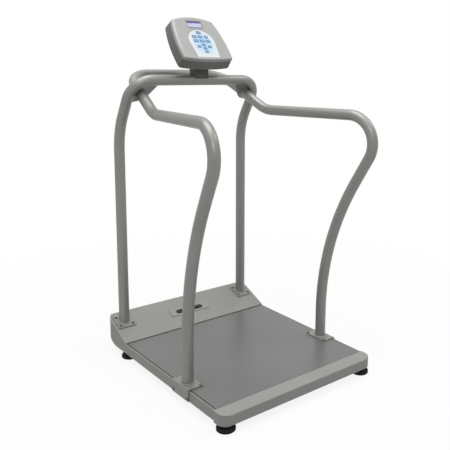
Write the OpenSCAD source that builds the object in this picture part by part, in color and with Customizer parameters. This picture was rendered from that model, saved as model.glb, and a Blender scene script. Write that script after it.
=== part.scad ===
// Stand-on clinic scale with bent handrails and a swivelling display head.
// The origin is on the floor, in the middle of the overall width and length.
// +X is to the right of a person who steps on, +Y to the back and +Z up.

/* [Base] */
// Overall width over the side skirts
base_w = 635; // [625:1:645]
// Half of the overall length, from the cap's front to the rear crossbar's back
half_l = 394.5; // [392:0.5:400]
// Height of the mat's surface above the floor
deck_h = 63.5; // [63:0.5:68]
// Height of the skirts' lower edge above the floor
skirt_gap = 27.5; // [26:0.5:28.5]
// Length of the front cap
cap_l = 49; // [47:0.5:54]
// Fall of the cap's top from the mat to its front edge
cap_fall = 3; // [1:0.5:4]
// How far the cap reaches out past the skirts at each side
cap_out = 3; // [2:0.5:4]
// How far the cap reaches below the skirts
cap_drop = 3; // [2:0.5:5]
// Corner radius of the front cap, seen from above
cap_corner_r = 31; // [28:1:40]
// Radius along the cap's upper front edge
cap_edge_r = 5; // [3:0.5:6]
// Thickness of the mat
mat_t = 3; // [2.5:0.1:3.5]
// Thickness of the deck plate
deck_t = 4; // [3.5:0.1:4.5]
// Open joint between the mat and the rear cover
cover_gap = 3; // [2:0.5:5]
// How far the skirts' rim stays below the top of the mat
rim_drop = 2; // [0:0.5:2.5]
// Width of the skirts' rim beside the mat
rim_w = 6; // [5:0.5:9]
// Thickness of the folded skirts
skirt_t = 2.5; // [1.5:0.1:3]
// Width of the skirts' inward lower lip
lip_w = 8; // [6:0.5:10]
// Wall of the front cap and of the rear cover
cover_t = 3; // [2.5:0.1:3.5]

/* [Rear cover] */
// Length of the rear cover
cover_l = 156; // [154:0.5:158]
// Back of the rear cover, in from the rear crossbar's back
cover_back_in = 4; // [3:0.5:6]
// Height of its front lip above the mat
cover_lip = 2; // [1:0.5:4]
// Slope of its top, in degrees
cover_slope = 23.5; // [23:0.1:24.5]
// Radius along its upper rear edge
cover_edge_r = 10; // [7:0.5:12]
// Radius of the big curve at its lower rear
belly_r = 86; // [80:1:88]
// Corner radius seen from above
cover_corner_r = 43; // [35:1:46]
// Width of the slot plate
slot_plate_w = 170; // [160:1:185]
// Length of the slot plate along the slope
slot_plate_l = 37; // [34:1:40]
// Thickness of the slot plate and of its collar
slot_plate_t = 2; // [1.5:0.1:3]
// Middle of the slot plate behind the cover's front edge, along the slope
slot_s = 80; // [76:0.5:86]
// Width of the hand slot
slot_w = 120; // [105:1:130]
// Height of the hand slot
slot_h = 20; // [17:0.5:22]
// Depth of the slot's collar below the cover's surface
slot_depth = 14; // [8:0.5:16]

/* [Frame and feet] */
// Width of the frame's box sections
beam_w = 30; // [28:0.5:32]
// Height of the frame's box sections
beam_h = 25; // [24:0.5:26]
// Wall of the box sections
beam_t = 2.5; // [2:0.1:4]
// Side beams' middle, in from the platform's sides
beam_in = 66.5; // [65.5:0.5:69.5]
// Place of the cross beam in the middle of the deck, along Y
middle_beam_y = 45; // [35:1:60]
// Feet, in from the platform's sides
foot_in = 27.5; // [26.5:0.5:29.5]
// Front feet, from the cap's front edge to the stud
foot_front_in = 28.5; // [28:0.5:30]
// Rear feet, from the cover's front edge to the stud
foot_rear_in = 19.5; // [16:0.5:20]
// Diameter of a foot's rubber pad
foot_d = 60; // [52:1:60]
// Height of a foot's rubber pad
foot_h = 18; // [15:0.5:19]
// Diameter of a foot's stud
stud_d = 10; // [8:0.5:12]
// Radial clearance of a running fit
fit_gap = 0.05; // [0.03:0.01:0.1]
// Width of a load cell
cell_w = 25; // [22:0.5:26]
// Height of a load cell
cell_h = 18; // [16:0.5:19]
// Length of a load cell from its stud to its fixed end
cell_l = 108; // [104:1:112]
// Length of the arm that holds a load cell
arm_l = 58; // [52:1:60]
// Thickness of the arm over a load cell
arm_t = 11.5; // [10:0.5:12]
// Transport wheels, in from the platform's sides
wheel_in = 112.5; // [107.5:0.5:122.5]
// Transport wheels' axles, in from the rear cover's back
wheel_back_in = 64.5; // [62.5:0.5:67.5]
// Height of the transport wheels' axles
wheel_z = 38; // [37:0.5:42]
// Radius of a transport wheel
wheel_r = 25; // [23:0.5:26]
// Width of a transport wheel
wheel_w = 22; // [18:0.5:26]
// Diameter of the wheels' axles
axle_d = 8; // [6:0.5:10]

/* [Handrails] */
// Outer diameter of the tubes
tube_d = 38.1; // [36:0.1:38.2]
// Wall of the tubes
tube_t = 2; // [1.5:0.1:3]
// Front posts, in from the platform's sides
post_in = 25.5; // [23.5:0.5:27.5]
// Front posts, behind the front of the cap
post_back = 238.5; // [229.5:1:244.5]
// Height of the corner between a front post and its sweep
sweep_z = 440; // [430:0.5:455]
// Radius of the sweep
sweep_r = 993; // [930:1:1060]
// Corner of the grip rail's front bend, out from the platform's side
grip_out = 16.5; // [12.5:0.5:20.5]
// Corner of the grip rail's front bend, ahead of the front of the cap
grip_ahead = 35; // [30:0.5:41]
// Height of the grip rail's front bend
grip_z = 913; // [902:0.5:922]
// Radius of the grip rail's front bend
grip_r = 96.5; // [86:0.5:106]
// Corner of the grip rail's rear bend, in from the platform's side
rise_in = 76; // [75.5:0.1:76.5]
// Corner of the grip rail's rear bend, ahead of the front crossbar
rise_ahead = 95; // [92:0.5:98]
// Height of the grip rail's rear bend
rise_z = 906.5; // [905.5:0.5:907.5]
// Radius of the grip rail's rear bend
rise_r = 130; // [110:1:140]
// Corner of the rear crossbar, in from the platform's side
back_in = 110.7; // [109.5:0.1:111.5]
// Height of the rear crossbar
back_z = 1035.5; // [1034:0.5:1037]
// Radius of the rear crossbar's bends
back_r = 95; // [88:0.5:98]
// Rear posts, in from the platform's sides
hoop_in = 46; // [45:0.1:46.5]
// Rear posts, in from the rear cover's back
hoop_back_in = 58.5; // [57.5:0.5:59.5]
// Height at which the rear posts meet their forward lean
hoop_knee_z = 833; // [828:0.5:838]
// Radius of that bend
hoop_knee_r = 234; // [215:1:250]
// Front crossbar, ahead of the rear posts
bar_ahead = 111.5; // [110:0.5:112.5]
// Height of the front crossbar
bar_z = 1018.5; // [1017:0.5:1020]
// Radius of the front crossbar's bends
bar_r = 79; // [76:0.5:81]
// Thickness of the corner gussets
gusset_t = 5; // [4:0.5:7]
// Rim of a gusset around the rail that passes through it
gusset_rim = 8; // [6:0.5:10]
// Reach of a gusset down the rear post
gusset_post = 90; // [84:1:100]
// Reach of a gusset along the crossbar
gusset_bar = 106; // [98:1:115]

/* [Flanges] */
// Thickness of the post flanges
flange_t = 4; // [3:0.5:5]
// Length of a front flange along Y
front_flange_l = 96; // [92:1:100]
// Inner edge of a front flange, from the post's axis
front_flange_in = 27.5; // [26:0.5:28]
// Width of a rear flange
rear_flange_w = 70; // [66:1:72]
// Length of a rear flange along the slope
rear_flange_l = 66; // [62:1:67]
// Diameter of the flange screws' shanks
screw_d = 6.5; // [5:0.5:6.5]
// Play of a screw in a clearance hole, on the diameter
hole_play = 0.4; // [0.3:0.1:0.8]

/* [Display head] */
// Elevation of the face's normal, in degrees
face_tilt = 40.5; // [39:0.5:42]
// Face's lower edge in front of the front crossbar's axis
head_ahead = 78.5; // [77:0.5:80]
// Height of the face's lower edge over the front crossbar's axis
head_lift = 75; // [74:0.5:79]
// Greatest width of the face
face_w = 211; // [208:1:216]
// Height of the face in the middle
face_h = 207; // [204:1:210]
// Height of the face's widest place
face_belly_v = 55; // [50:1:65]
// Radius of the face's sides
face_side_r = 495; // [450:5:560]
// Radius of the face's top
face_top_r = 216; // [205:1:240]
// Radius of the face's bottom
face_bottom_r = 640; // [550:10:800]
// Radius of the face's upper corners
face_corner_r = 14; // [13:0.5:16]
// Radius of the face's lower corners
low_corner_r = 9; // [8:0.5:12]
// Roundness of the face's upper and side edges
bezel_r = 12; // [10:0.5:12.5]
// Roundness of the face's lower edge
low_edge_r = 2.5; // [1.5:0.1:4]
// Depth of the front bezel
bezel_d = 13; // [12.5:0.5:14]
// Depth of the whole head
head_d = 57; // [56:0.5:58]
// Growth of the head's outline from its face to its back edge
head_flare = 5; // [3:0.5:6]
// Roundness of the rear shell's back edge
back_edge_r = 9; // [7:0.5:10]
// Wall of the bezel and of the rear shell
shell_t = 2.5; // [2:0.1:3]
// Width of the display window
lcd_w = 66; // [60:1:70]
// Height of the display window
lcd_h = 38; // [34:1:40]
// Middle of the display window above the face's lower edge
lcd_v = 166; // [165:0.5:167]
// Radius of the keypad's arch
panel_r = 54; // [53:0.5:56]
// Middle of the keypad's arch above the face's lower edge
panel_v = 85; // [84:0.5:86]
// Half of the width of the keypad's lower edge
panel_foot = 46; // [43:0.5:50]
// Keypad's lower edge above the face's lower edge
panel_low_v = 11; // [10.5:0.5:13]
// Depth of the keypad's pocket
pocket_d = 3; // [2.8:0.1:3.4]
// Thickness of the switch sheet
switch_t = 0.8; // [0.6:0.1:1]
// Depth of the overlay's surface below the face
overlay_drop = 0.2; // [0:0.1:0.4]
// Travel of a key
key_travel = 0.5; // [0.3:0.1:0.6]
// Height of a key at rest above the face
key_proud = 0.2; // [0:0.1:0.4]
// Side clearance of a key in the overlay
key_gap = 0.15; // [0.1:0.05:0.3]
// Width of a large key
key_w = 19; // [17:0.5:21]
// Height of a large key
key_h = 13; // [11:0.5:14]
// Corner radius of a key
key_r = 2.5; // [1:0.5:4]
// Width of a small key
small_key_w = 15; // [13:0.5:16.5]
// Height of a small key
small_key_h = 11; // [9:0.5:12]
// Distance between the columns of large keys
key_pitch = 25; // [23.5:0.5:26]
// Distance between the rows of large keys
key_row = 20; // [18:0.5:20.5]
// Side distance of the outer small keys
small_pitch = 22.5; // [20:0.5:25]
// Distance between the rows of small keys
small_row = 16; // [14:0.5:17]
// Middle of the small keys above the face's lower edge
small_v = 52.5; // [51:0.5:53]
// Width of the display mount
mount_w = 59; // [56:0.5:62]
// Depth of the display mount
mount_l = 42; // [41:0.5:44]
// Height of the saddle's top above the front crossbar's axis
saddle_top = 27.5; // [27:0.5:28]
// Height of the saddle's lower edge above the front crossbar's axis
saddle_low = 7; // [4:0.5:9]
// Diameter of the swivel pin
pin_d = 14; // [13:0.5:16]
// Open joint between the saddle and the neck
swivel_gap = 0.3; // [0.2:0.1:0.6]

/* [Hidden] */
$fn = 64;
seam = 0.5;
past = 1;
lap = 1;
hair = 0.1;

// Levels and places of the base
cap_y0 = -half_l;
cap_y1 = cap_y0 + cap_l;
cover_y1 = half_l - cover_back_in;
cover_y0 = cover_y1 - cover_l;
mat_y1 = cover_y0 - cover_gap;
cover_z0 = deck_h + cover_lip;
plate_z1 = deck_h - mat_t;
plate_z0 = plate_z1 - deck_t;
skirt_in = base_w / 2 - skirt_t;
cover_in = base_w / 2 - cover_t;
lip_seat = 10;
beam_z0 = plate_z0 - beam_h;
beam_x = base_w / 2 - beam_in;
beam_y0 = cap_y0 + cover_t + 2;
front_beam_y = cap_y1 + beam_w / 2;
cap_z0 = skirt_gap - cap_drop;
wheel_x = base_w / 2 - wheel_in;
wheel_y = cover_y1 - wheel_back_in;
rear_beam_y = wheel_y - wheel_r - 2 - beam_w / 2;
rear_beam_y1 = rear_beam_y + beam_w / 2;
belly_y = cover_y1 - belly_r;
belly_z = skirt_gap + belly_r;
beam_y1 = belly_y + sqrt(pow(belly_r - cover_t, 2) - pow(belly_z - beam_z0, 2)) - 2;
post_pad_t = 8;

// Feet and load cells
foot_x = base_w / 2 - foot_in;
foot_front_y = cap_y0 + foot_front_in;
foot_rear_y = cover_y0 + foot_rear_in;
cell_z1 = plate_z0 - arm_t;
cell_z0 = cell_z1 - cell_h;
stud_z0 = 6;
stud_z1 = cell_z1 + 5;
nut_h = 7;
nut_f = 17;
cell_screw_d = 8;
cell_screw_y = [cell_l - arm_l + 13, cell_l - 13];
lead_d = 4;
lead_z = beam_z0 - lead_d / 2 - 0.2;
cable_d = 6;
cable_z = beam_z0 - cable_d / 2 - 0.2;

// Junction box below the deck
box_w = 110;
box_l = 70;
box_y = middle_beam_y - 95;
box_t = 3;
box_z0 = beam_z0 - 7;
board_z = box_z0 + 12;
board_t = 1.6;

// Wheels
bracket_t = 4;
bracket_x = wheel_w / 2 + 1;
bracket_r = 9;

// Handrails
post_x = base_w / 2 - post_in;
post_y = cap_y0 + post_back;
grip_x = base_w / 2 + grip_out;
grip_y = cap_y0 - grip_ahead;
hoop_x = base_w / 2 - hoop_in;
hoop_y = cover_y1 - hoop_back_in;
bar_y = hoop_y - bar_ahead;
rise_x = base_w / 2 - rise_in;
rise_y = bar_y - rise_ahead;
back_x = base_w / 2 - back_in;
back_y = half_l - tube_d / 2;
rail_z0 = deck_h + flange_t;
rail_path = [[post_x, post_y, rail_z0], [post_x, post_y, sweep_z], [grip_x, grip_y, grip_z],
             [rise_x, rise_y, rise_z], [back_x, back_y, back_z], [0, back_y, back_z]];
rail_radii = [sweep_r, grip_r, rise_r, back_r];
hoop_z0 = deck_h;
hoop_path = [[-hoop_x, hoop_y, hoop_z0], [-hoop_x, hoop_y, hoop_knee_z], [-hoop_x, bar_y, bar_z],
             [hoop_x, bar_y, bar_z], [hoop_x, hoop_y, hoop_knee_z], [hoop_x, hoop_y, hoop_z0]];
hoop_radii = [hoop_knee_r, bar_r, bar_r, hoop_knee_r];
hoop_s = (hoop_y - cover_y0) / cos(cover_slope);
clear_d = screw_d + hole_play;
tap_d = screw_d + 2 * fit_gap;
front_screw_in = 6.5;
front_screw_y = front_flange_l / 2 - 5;
flap_screw_z = skirt_gap + 8.5;
rear_screw_x = rear_flange_w / 2 - 10;
rear_screw_s = rear_flange_l / 2 - 10;
support_t = 6;
web_t = 5;

// Display head
pin_z0 = bar_z + tube_d / 2 - 11;
pin_z1 = bar_z + saddle_top + 28;
pin_bore = cable_d + 2;
neck_z0 = bar_z + saddle_top + swivel_gap;
neck_r = 4;
neck_screw_d = 4;
neck_screw_v = [40, 64];
neck_screw_x = 20;
case_screw_d = 3;
reveal = 0.8;
case_screws = [[face_w / 2 - 23.5, 30], [face_w / 2 - 29.5, face_h - 49]];
case_screw_level = -22;
board_level = -30;
board_w = 124;
board_l = 72;
board_v = 62;
board_screw_in = 8;
chip_w = 14;
chip_h = 2;
plug_w = 30;
plug_l = 7;
plug_h = 6;
door_w = 76;
door_h = 70;
door_v = 137;
door_t = 1.5;
door_lap = 4.5;
door_screw_x = door_w / 2 - 3;
cell_d = 14.2;
lens_t = 1.3;
lens_drop = 0.2;
window_lap = 3;
switch_level = switch_t - pocket_d;
large = 0;
small = 1;
round_key = 2;
key_v = panel_v + 2;
KEYS = [[0, key_v + 2 * key_row, large], [-key_pitch, key_v + key_row, large],
        [0, key_v + key_row, large], [key_pitch, key_v + key_row, round_key],
        [-key_pitch, key_v, large], [0, key_v, large], [key_pitch, key_v, large],
        [0, small_v + small_row, small], [-small_pitch, small_v + small_row / 2, small],
        [small_pitch, small_v + small_row / 2, small], [0, small_v, small],
        [0, small_v - small_row, small]];

function unit(v) = v / norm(v);
function turn_of(a, b, c) = acos(unit(b - a) * unit(c - b));
function trim_of(a, b, c, r) = r * tan(turn_of(a, b, c) / 2);
function any_side(w) = unit(cross(w, abs(w[2]) < 0.9 ? [0, 0, 1] : [1, 0, 0]));
function angle_of(v) = atan2(v[1], v[0]);
function polar(c, r, a) = c + r * [cos(a), sin(a)];
function arc(c, r, a0, a1, n) = [for (i = [0 : n]) polar(c, r, a0 + (a1 - a0) * i / n)];
function flip(p) = [for (i = [len(p) - 1 : -1 : 0]) [-p[i][0], p[i][1]]];

// Height of the plane that lies n off the cover's slope, at the place y
function slope_z(y, n) = cover_z0 + (y - cover_y0) * tan(cover_slope) + n / cos(cover_slope);

// Point where a line from p touches a circle, on the side s
function touch(p, c, r, s) = polar(c, r, angle_of(p - c) + s * acos(r / norm(p - c)));

// Point where two circles meet, on the side s of the line between their middles
function meet(c1, r1, c2, r2, s) =
  let (d = norm(c2 - c1), e = (c2 - c1) / d, a = (r1 * r1 - r2 * r2 + d * d) / (2 * d))
  c1 + a * e + s * sqrt(r1 * r1 - a * a) * [-e[1], e[0]];

// Inset of the head's outline at the depth n: less than none, because the head grows to its back
function flare(n) = -head_flare * n / (back_edge_r - head_d);

// Right half of the face's outline, drawn in by the distance inset, and at the bottom by low_inset
function face_half(inset, low_inset) =
  let (r1 = max(low_corner_r - min(inset, low_inset), 1),
       r2 = max(face_corner_r - inset, 1),
       low = [0, face_bottom_r],
       side = [face_w / 2 - face_side_r, face_belly_v],
       top = [0, face_h - face_top_r],
       c1 = meet(side, face_side_r - inset - r1, low, face_bottom_r - low_inset - r1, -1),
       c2 = meet(side, face_side_r - inset - r2, top, face_top_r - inset - r2, 1))
  concat(arc(low, face_bottom_r - low_inset, -88.5, angle_of(c1 - low), 3),
         arc(c1, r1, angle_of(c1 - low) + 22, angle_of(c1 - side), 3),
         arc(side, face_side_r - inset, angle_of(c1 - side) + 3, angle_of(c2 - side), 5),
         arc(c2, r2, angle_of(c2 - side) + 15, angle_of(c2 - top), 3),
         arc(top, face_top_r - inset, angle_of(c2 - top) + 5, 87, 4));
function face_ring(inset, low_inset, n) =
  let (half = face_half(inset, low_inset)) [for (p = concat(half, flip(half))) [p[0], p[1], n]];

// Ring at the angle a round the bezel's edge, t inside its surface
function edge_ring(a, t) =
  let (s = flare(-bezel_r), r = bezel_r - t)
  face_ring(s + bezel_r - r * cos(a), s + t + low_edge_r * (1 - cos(a)), r * sin(a) - bezel_r);

// Ring at the angle a round the shell's back edge, t inside its surface
function back_ring(a, t) =
  let (r = back_edge_r - t, inset = back_edge_r - r * cos(a) - head_flare)
  face_ring(inset, inset, back_edge_r - head_d - r * sin(a));
function wall_ring(inset, n) = face_ring(flare(n) + inset, flare(n) + inset, n);

// Places children in the frame with origin o and axes u, v and w
module in_frame(o, u, v, w) {
  multmatrix([[u[0], v[0], w[0], o[0]],
              [u[1], v[1], w[1], o[1]],
              [u[2], v[2], w[2], o[2]],
              [0, 0, 0, 1]]) children();
}

// Ring of outer diameter d and wall t
module ring(d, t) {
  difference() {
    circle(d = d);
    circle(d = d - 2 * t);
  }
}

// Places children in the frame whose Z runs from p to q
module along(p, q) {
  w = unit(q - p);
  u = any_side(w);
  in_frame(p, u, cross(w, u), w) children();
}

// Round rod from p to q
module rod(p, q, d) {
  along(p, q) cylinder(d = d, h = norm(q - p));
}

// Turns the children's section round the corner b between a and c, at centreline radius r
module bend(a, b, c, r) {
  run = unit(b - a);
  axis = unit(cross(run, unit(c - b)));
  outward = cross(run, axis);
  start = b - run * trim_of(a, b, c, r);
  in_frame(start - outward * r, outward, run, axis)
    rotate_extrude(angle = turn_of(a, b, c), $fn = 96) translate([r, 0]) children();
}

// Follows the corners P with bend radii R: child 0 is the section of the straights, child 1 that
// of the bends, which take the straights' ends in by the lap
module run_along(P, R) {
  last = len(P) - 1;
  for (i = [0 : last - 1]) {
    a = i == 0 ? 0 : trim_of(P[i - 1], P[i], P[i + 1], R[i - 1]) - lap;
    b = i == last - 1 ? 0 : trim_of(P[i], P[i + 1], P[i + 2], R[i]) - lap;
    along(P[i], P[i + 1]) translate([0, 0, a])
      linear_extrude(norm(P[i + 1] - P[i]) - a - b) children(0);
  }
  for (i = [1 : last - 1]) bend(P[i - 1], P[i], P[i + 1], R[i - 1]) children(1);
}

// Tube of wall t, open at both ends
module bent_tube(P, R, d, t) {
  run_along(P, R) {
    ring(d, t, $fn = 48);
    ring(d + 2 * hair, t + 2 * hair, $fn = 48);
  }
}

// Rod that follows the corners P with bend radii R
module bent_rod(P, R, d) {
  run_along(P, R) {
    circle(d = d);
    circle(d = d + 2 * hair);
  }
}

// Solid between rings of points, listed from the lowest up
module skin(rings) {
  n = len(rings[0]);
  m = len(rings);
  polyhedron(points = [for (r = rings) each r],
             faces = concat([[for (i = [0 : n - 1]) i]],
                            [[for (i = [n - 1 : -1 : 0]) (m - 1) * n + i]],
                            [for (k = [0 : m - 2], i = [0 : n - 1])
                              [k * n + i, (k + 1) * n + i, k * n + (i + 1) % n]],
                            [for (k = [0 : m - 2], i = [0 : n - 1])
                              [(k + 1) * n + i, (k + 1) * n + (i + 1) % n, k * n + (i + 1) % n]]));
}

module round_rect(w, l, r) {
  square([w - 2 * r, l], center = true);
  square([w, l - 2 * r], center = true);
  for (x = [-1, 1], y = [-1, 1])
    translate([x * (w / 2 - r), y * (l / 2 - r)]) circle(r = r);
}

module obround(w, h) {
  square([w - h, h], center = true);
  for (x = [-1, 1]) translate([x * (w - h) / 2, 0]) circle(d = h);
}

module box(a, b) {
  translate(a) cube(b - a);
}

// Extrudes a profile drawn in Y and Z along X, from -w/2 to w/2
module along_x(w) {
  rotate([90, 0, 90]) linear_extrude(w, center = true) children();
}

// Extrudes a profile drawn in X and Z along Y, from y0 to y1
module along_y(y0, y1) {
  translate([0, y1, 0]) rotate([90, 0, 0]) linear_extrude(y1 - y0) children();
}

// Places children on the cover's slope, with local Y up the slope and Z off it
module on_slope(x, s) {
  translate([x, cover_y0, cover_z0]) rotate([cover_slope, 0, 0]) translate([0, s, 0]) children();
}

// Places children in the head's frame: Y up the face, Z out of it
module on_face() {
  translate([0, bar_y - head_ahead, bar_z + head_lift]) rotate([90 - face_tilt, 0, 0]) children();
}

module both_sides() {
  children();
  mirror([1, 0, 0]) children();
}

// Places children at all four feet, with local Y towards the load cell's fixed end
module at_feet() {
  both_sides() {
    translate([foot_x, foot_front_y, 0]) children();
    translate([foot_x, foot_rear_y, 0]) mirror([0, 1, 0]) children();
  }
}

module at_wheels() {
  for (x = [-wheel_x, wheel_x]) translate([x, wheel_y, wheel_z]) rotate([0, 90, 0]) children();
}

// Places children at the front flanges' upper screws, on the mat's surface
module at_deck_screws() {
  for (x = [-1, 1], y = [-1, 1])
    translate([x * (post_x - front_flange_in + front_screw_in), post_y + y * front_screw_y, deck_h])
      children();
}

// Places children at the flaps' screws, with local Z outward from the skirt
module at_flap_screws() {
  for (x = [-1, 1], y = [-1, 1])
    translate([x * base_w / 2, post_y + y * front_screw_y, flap_screw_z])
      rotate([0, x * 90, 0]) children();
}

// Places children at the rear flanges' screws, on the cover's slope
module at_slope_screws() {
  for (x = [-1, 1], i = [-1, 1], j = [-1, 1])
    on_slope(x * hoop_x + i * rear_screw_x, hoop_s + j * rear_screw_s) children();
}

// Places children at the saddle's screws, on the floors of their counterbores
module at_saddle_screws() {
  for (x = [-1, 1])
    translate([x * (mount_w / 2 - 9), bar_y, bar_z + saddle_top - 4]) children();
}

// Button-head screw with its head on Z = 0 and its shank below
module button_screw(d, shank_l) {
  head_r = d * 0.875;
  rise = d * 0.55;
  ball_r = (head_r * head_r + rise * rise) / (2 * rise);
  difference() {
    union() {
      intersection() {
        translate([0, 0, rise - ball_r]) sphere(r = ball_r);
        cylinder(r = head_r, h = rise + past);
      }
      translate([0, 0, -shank_l]) cylinder(d = d, h = shank_l + rise / 2);
    }
    translate([0, 0, rise * 0.4]) cylinder(d = d * 0.65, h = rise, $fn = 6);
  }
}

// Outline of the front cap, seen from above, drawn in by i
module cap_plan(i) {
  x = base_w / 2 + cap_out - cap_corner_r;
  r = cap_corner_r - i;
  translate([-x, cap_y0 + i]) square([2 * x, cap_l + past]);
  translate([-x - r, cap_y0 + cap_corner_r]) square([2 * (x + r), cap_l - cap_corner_r + i + past]);
  for (s = [-x, x]) translate([s, cap_y0 + cap_corner_r]) circle(r = r);
}

// Side view of the front cap, in Y and Z
module cap_profile() {
  fall = atan(cap_fall / cap_l);
  y = cap_y0 + cap_edge_r;
  z = deck_h - (cap_y1 - y) * tan(fall) - cap_edge_r / cos(fall);
  polygon([[cap_y1, cap_z0], [cap_y1, deck_h],
           [y - cap_edge_r * sin(fall), z + cap_edge_r * cos(fall)],
           [y, z], [cap_y0, z], [cap_y0, cap_z0]]);
  translate([y, z]) circle(r = cap_edge_r);
}

// Outline of the rear cover, seen from above, drawn in by i
module cover_plan(i) {
  x = base_w / 2 - cover_corner_r;
  y = cover_y1 - cover_corner_r;
  r = cover_corner_r - i;
  translate([-x - r, cover_y0 - past]) square([2 * (x + r), y - cover_y0 + past]);
  translate([-x, cover_y0 - past]) square([2 * x, y + r - cover_y0 + past]);
  for (s = [-x, x]) translate([s, y]) circle(r = r);
}

// Side view of the rear cover, in Y and Z, drawn in by i and open down to z0
module cover_profile(i, z0) {
  y = cover_y1 - cover_edge_r;
  z = slope_z(y, -cover_edge_r);
  r = cover_edge_r - i;
  top = slope_z(cover_y1 - i, -i);
  difference() {
    polygon([[cover_y0 + i, z0], [cover_y0 + i, slope_z(cover_y0 + i, -i)],
             [cover_y1 - i, top], [cover_y1 - i, z0]]);
    difference() {
      polygon([[y, z], [y + r + past, z], [y + r + past, top + 2 * past],
               [y - (r + past) * sin(cover_slope), z + (r + past) * cos(cover_slope)]]);
      translate([y, z]) circle(r = r);
    }
    difference() {
      translate([belly_y, -past]) square([belly_r + past, belly_z + past]);
      translate([belly_y, belly_z]) circle(r = belly_r - i, $fn = 128);
    }
  }
}

// Welded frame: box sections, an arm over each load cell, a pad under each front post
module base_frame() {
  side = beam_w / 2;
  color("#5f605d") difference() {
    union() {
      for (x = [-beam_x, beam_x])
        box([x - side, beam_y0, beam_z0], [x + side, beam_y1, plate_z0]);
      box([-beam_x, front_beam_y - side, beam_z0], [beam_x, front_beam_y + side, plate_z0]);
      box([2 - cover_in, rear_beam_y - side, beam_z0], [cover_in - 2, rear_beam_y1, plate_z0]);
      for (y = [post_y, middle_beam_y])
        box([-skirt_in, y - side, beam_z0], [skirt_in, y + side, plate_z0]);
      at_feet() box([beam_x - foot_x, cell_l - arm_l, cell_z1], [cell_w / 2 + 2, cell_l, plate_z0]);
      both_sides() box([beam_x, post_y - front_flange_l / 2, plate_z0 - post_pad_t],
                       [skirt_in, post_y + front_flange_l / 2, plate_z0]);
    }
    for (x = [-beam_x, beam_x])
      box([x - side + beam_t, beam_y0 - past, beam_z0 + beam_t],
          [x + side - beam_t, beam_y1 + past, plate_z0 - beam_t]);
    for (y = [front_beam_y, post_y, middle_beam_y, rear_beam_y])
      box([-beam_x, y - side + beam_t, beam_z0 + beam_t], [beam_x, y + side - beam_t, plate_z0 - beam_t]);
    at_deck_screws() translate([0, 0, -20]) cylinder(d = tap_d, h = 20);
    at_feet() for (y = cell_screw_y) translate([0, y, cell_z1 - past])
      cylinder(d = cell_screw_d + 2 * fit_gap, h = arm_t);
  }
}
base_frame();

// Steel plate under the mat, with a tongue that carries the rear cover's lip
module deck_plate() {
  tongue = cover_in - seam;
  color("#6d6e6b") difference() {
    union() {
      box([-skirt_in, cap_y1, plate_z0], [skirt_in, cover_y0, plate_z1]);
      box([-tongue, cover_y0 - past, plate_z0], [tongue, cover_y0 + lip_seat, plate_z1]);
    }
    at_deck_screws() translate([0, 0, -20]) cylinder(d = clear_d, h = 20);
  }
}
deck_plate();

// Mat between the skirts' rims
module deck_mat() {
  side = base_w / 2 - rim_w - seam;
  color("#848382") difference() {
    box([-side, cap_y1, plate_z1], [side, mat_y1, deck_h]);
    at_deck_screws() translate([0, 0, -mat_t - past]) cylinder(d = clear_d, h = mat_t + 2 * past);
  }
}
deck_mat();

// Folded skirt with a rim beside the mat and an inward lip at the bottom
module side_skirt() {
  out = base_w / 2;
  lip_z1 = skirt_gap + skirt_t;
  rim_z1 = deck_h - rim_drop;
  color("#8b8b86") difference() {
    along_y(cap_y1, cover_y0)
      polygon([[out, skirt_gap], [out, rim_z1], [out - rim_w, rim_z1], [out - rim_w, plate_z1],
               [skirt_in, plate_z1], [skirt_in, lip_z1], [out - lip_w, lip_z1],
               [out - lip_w, skirt_gap]]);
    at_flap_screws() translate([0, 0, -10]) cylinder(d = clear_d, h = 20);
  }
}
module side_skirt_left() mirror([1, 0, 0]) side_skirt();
module side_skirt_right() side_skirt();
side_skirt_left();
side_skirt_right();

// Moulded front cap, hollow from below and behind
module front_cap() {
  color("#a5a5a2") difference() {
    intersection() {
      along_x(base_w + 2 * cap_out + 2) cap_profile();
      linear_extrude(deck_h + past) cap_plan(0);
    }
    linear_extrude(plate_z0) cap_plan(cover_t);
  }
}
front_cap();

// Rear cover: sloping top, upright back, and a big curve down towards the floor
module rear_cover() {
  wheel_slot = bracket_x + bracket_t + 4;
  color("#8b8b86") difference() {
    intersection() {
      along_x(base_w + 2) cover_profile(0, skirt_gap);
      linear_extrude(cover_y1) cover_plan(0);
    }
    intersection() {
      along_x(base_w + 2) cover_profile(cover_t, 0);
      linear_extrude(cover_y1) cover_plan(cover_t);
    }
    box([-cover_in, cover_y0 - past, 0], [cover_in, cover_y0 + cover_t + past, plate_z1]);
    for (x = [-wheel_x, wheel_x])
      box([x - wheel_slot, belly_y - past, 0], [x + wheel_slot, wheel_y + wheel_r + 4, plate_z1]);
    on_slope(0, slot_s) translate([0, 0, -slot_depth])
      linear_extrude(2 * slot_depth) obround(slot_w + 2 * slot_plate_t, slot_h + 2 * slot_plate_t);
    at_slope_screws() translate([0, 0, -10]) cylinder(d = clear_d, h = 20);
    translate([hoop_x, hoop_y, plate_z1]) cylinder(d = 2 * cable_d, h = 2 * plate_z1);
  }
}
rear_cover();

// Plate with the hand slot and its collar
module slot_plate() {
  collar = 2 * slot_plate_t - 2 * fit_gap;
  color("#8f8f8b") on_slope(0, slot_s) difference() {
    union() {
      linear_extrude(slot_plate_t) round_rect(slot_plate_w, slot_plate_l, 3);
      translate([0, 0, -slot_depth])
        linear_extrude(slot_depth + past) obround(slot_w + collar, slot_h + collar);
    }
    translate([0, 0, -slot_depth - past])
      linear_extrude(slot_depth + slot_plate_t + 2 * past) obround(slot_w, slot_h);
  }
}
slot_plate();

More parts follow.
